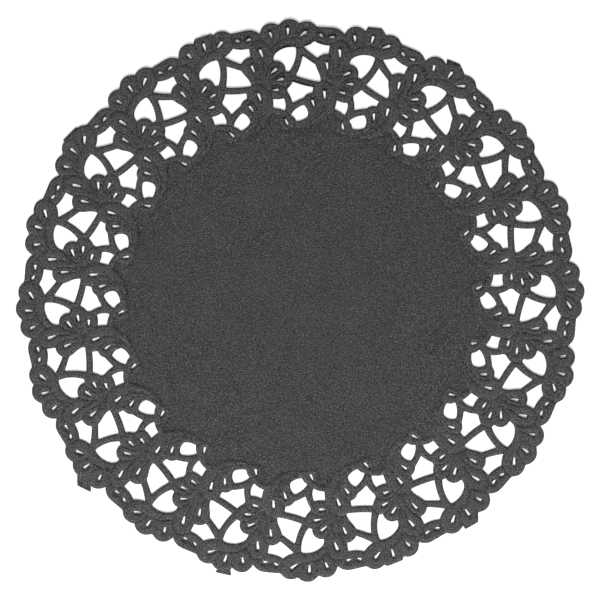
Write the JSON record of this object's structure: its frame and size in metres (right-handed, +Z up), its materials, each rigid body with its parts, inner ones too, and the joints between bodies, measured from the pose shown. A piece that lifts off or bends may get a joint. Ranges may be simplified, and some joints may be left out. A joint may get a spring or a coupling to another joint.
{
  "type": "paper lace doily",
  "caption": "Round flat paper doily with a plain middle and a die-cut, embossed lace border with a scalloped rim.",
  "frame": {"origin": "on the surface the doily lies on, under the middle of its outline", "axes": "+Z up through the sheet, +Y away from the viewer to the edge at the top of the picture, +X to the right"},
  "size_m": [0.2032, 0.2024, 0.001],
  "materials": {
    "paper": "matt, dyed black, embossed"
  },
  "bodies": {
    "root": {"doily": "paper"}
  },
  "joints": []
}
